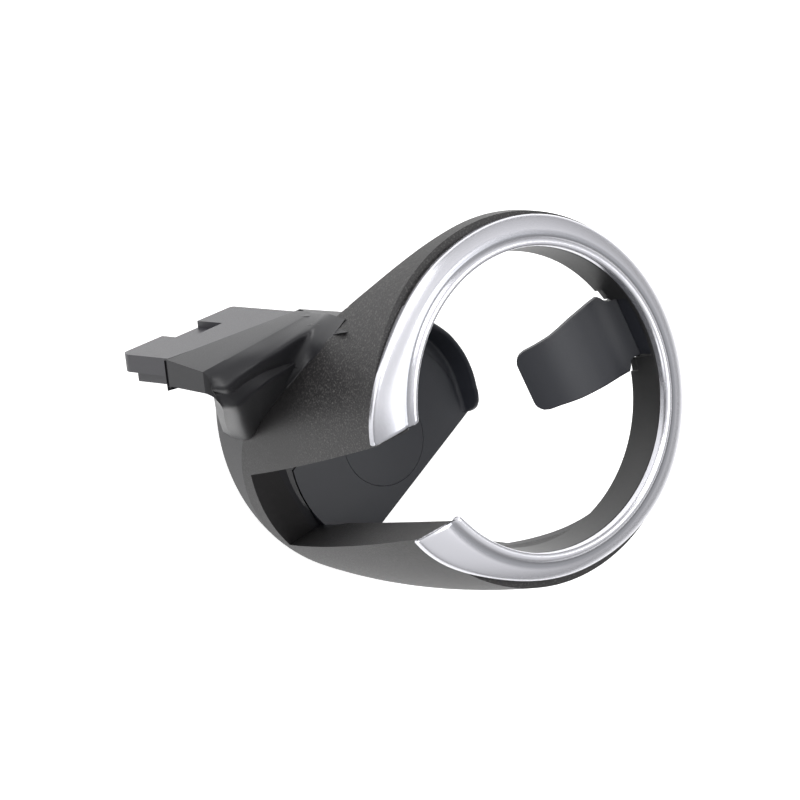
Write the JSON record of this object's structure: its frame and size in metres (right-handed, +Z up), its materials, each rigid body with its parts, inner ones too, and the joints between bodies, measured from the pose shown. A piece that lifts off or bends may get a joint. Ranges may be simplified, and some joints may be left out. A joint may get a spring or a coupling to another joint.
{
  "type": "car cup holder",
  "caption": "Plug-in car cup holder: a slotted ring over a curved spine with a petal floor, a spring flap and an oblique plug blade.",
  "frame": {"origin": "ring axis at the height of the floor's top face, on the floor pad", "axes": "+Z up along the ring's axis, -X through the middle of the handle slot, +X towards the spring flap"},
  "size_m": [0.1276, 0.1078, 0.091],
  "materials": {
    "silver": "satin silver paint",
    "grained": "fine grain",
    "smooth": "smooth satin",
    "liner": "smooth matte",
    "floor": "smooth matte",
    "blade": "smooth satin",
    "steel": "zinc plated"
  },
  "bodies": {
    "holder": {"front_shell": "grained", "rear_shell": "smooth", "trim_ring": "silver", "bore_liner": "liner", "floor_plate": "floor", "floor_pad": "floor", "flap_pin": "steel", "flap_spring": "steel", "plug_cover": "blade", "plug_base": "blade", "plug_screws": "steel", "shell_screws": "steel", "floor_screws": "steel"},
    "flap": {"cup_flap": "floor"}
  },
  "joints": [
    {"name": "flap_hinge", "type": "hinge", "parent": "holder", "child": "flap", "pos_m": [0.04199, 0.00073, 0.0733], "axis": [0.0175, -0.9998, 0], "range_deg": [0, 50], "stiffness_Nm_per_rad": 0.004, "springref_deg": -20.05, "deforming": ["flap_spring"]}
  ]
}
